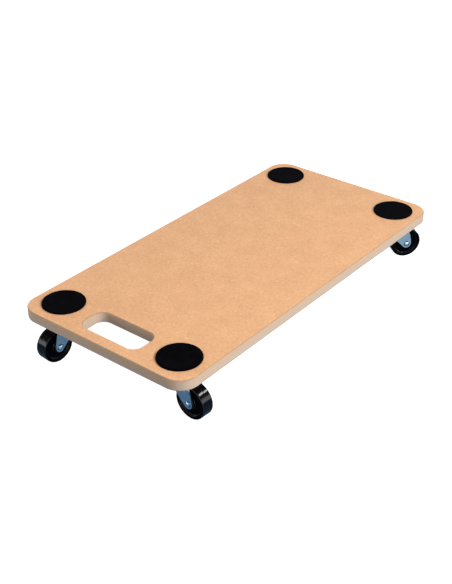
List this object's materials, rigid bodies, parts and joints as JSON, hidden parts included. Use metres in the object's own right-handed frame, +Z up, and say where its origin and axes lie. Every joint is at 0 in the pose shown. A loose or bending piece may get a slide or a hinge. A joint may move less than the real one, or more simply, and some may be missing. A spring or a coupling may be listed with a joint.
{
  "type": "furniture dolly",
  "caption": "Flat rectangular furniture dolly: a fibreboard deck with a hand slot and round non-slip pads, carried on swivel plate castors with solid plastic wheels.",
  "frame": {"origin": "on the floor, under the centre of the board", "axes": "+Y along the board from the hand slot's end to the rear, +X across it, +Z up"},
  "size_m": [0.2997, 0.5943, 0.081],
  "materials": {
    "board_mdf": "satin fibreboard",
    "pad_rubber": "matt rubber",
    "zinc_plate": "bright zinc plate",
    "zinc_fork": "blue bright zinc plate",
    "screw_steel": "zinc plate",
    "rivet_steel": "bright zinc plate",
    "ball_steel": "polished",
    "wheel_plastic": "gloss moulded"
  },
  "bodies": {
    "deck": {"deck_board": "board_mdf", "front_left_pad": "pad_rubber", "front_left_top_plate": "zinc_plate", "front_left_plate_screws": "screw_steel", "front_left_kingpin": "rivet_steel", "front_left_lower_race": "zinc_plate", "front_right_pad": "pad_rubber", "front_right_top_plate": "zinc_plate", "front_right_plate_screws": "screw_steel", "front_right_kingpin": "rivet_steel", "front_right_lower_race": "zinc_plate", "rear_left_pad": "pad_rubber", "rear_left_top_plate": "zinc_plate", "rear_left_plate_screws": "screw_steel", "rear_left_kingpin": "rivet_steel", "rear_left_lower_race": "zinc_plate", "rear_right_pad": "pad_rubber", "rear_right_top_plate": "zinc_plate", "rear_right_plate_screws": "screw_steel", "rear_right_kingpin": "rivet_steel", "rear_right_lower_race": "zinc_plate"},
    "front_left_fork": {"front_left_upper_balls": "ball_steel", "front_left_lower_balls": "ball_steel", "front_left_fork": "zinc_fork", "front_left_axle_rivet": "rivet_steel", "front_left_axle_sleeve": "rivet_steel"},
    "front_left_wheel": {"front_left_wheel": "wheel_plastic"},
    "front_right_fork": {"front_right_upper_balls": "ball_steel", "front_right_lower_balls": "ball_steel", "front_right_fork": "zinc_fork", "front_right_axle_rivet": "rivet_steel", "front_right_axle_sleeve": "rivet_steel"},
    "front_right_wheel": {"front_right_wheel": "wheel_plastic"},
    "rear_left_fork": {"rear_left_upper_balls": "ball_steel", "rear_left_lower_balls": "ball_steel", "rear_left_fork": "zinc_fork", "rear_left_axle_rivet": "rivet_steel", "rear_left_axle_sleeve": "rivet_steel"},
    "rear_left_wheel": {"rear_left_wheel": "wheel_plastic"},
    "rear_right_fork": {"rear_right_upper_balls": "ball_steel", "rear_right_lower_balls": "ball_steel", "rear_right_fork": "zinc_fork", "rear_right_axle_rivet": "rivet_steel", "rear_right_axle_sleeve": "rivet_steel"},
    "rear_right_wheel": {"rear_right_wheel": "wheel_plastic"}
  },
  "joints": [
    {"name": "front_left_swivel", "type": "hinge", "parent": "deck", "child": "front_left_fork", "pos_m": [-0.1018, -0.251, 0.0574], "axis": [0, 0, 1], "continuous": true},
    {"name": "front_left_roll", "type": "hinge", "parent": "front_left_fork", "child": "front_left_wheel", "pos_m": [-0.10355, -0.27484, 0.024], "axis": [0.9973, -0.0732, 0], "continuous": true},
    {"name": "front_right_swivel", "type": "hinge", "parent": "deck", "child": "front_right_fork", "pos_m": [0.1018, -0.251, 0.0574], "axis": [0, 0, 1], "continuous": true},
    {"name": "front_right_roll", "type": "hinge", "parent": "front_right_fork", "child": "front_right_wheel", "pos_m": [0.12567, -0.25221, 0.024], "axis": [0.0506, 0.9987, 0], "continuous": true},
    {"name": "rear_left_swivel", "type": "hinge", "parent": "deck", "child": "rear_left_fork", "pos_m": [-0.1018, 0.251, 0.0574], "axis": [0, 0, 1], "continuous": true},
    {"name": "rear_left_roll", "type": "hinge", "parent": "rear_left_fork", "child": "rear_left_wheel", "pos_m": [-0.1257, 0.251, 0.024], "axis": [0, -1, 0], "continuous": true},
    {"name": "rear_right_swivel", "type": "hinge", "parent": "deck", "child": "rear_right_fork", "pos_m": [0.1018, 0.251, 0.0574], "axis": [0, 0, 1], "continuous": true},
    {"name": "rear_right_roll", "type": "hinge", "parent": "rear_right_fork", "child": "rear_right_wheel", "pos_m": [0.11628, 0.27001, 0.024], "axis": [-0.7955, 0.606, 0], "continuous": true}
  ]
}
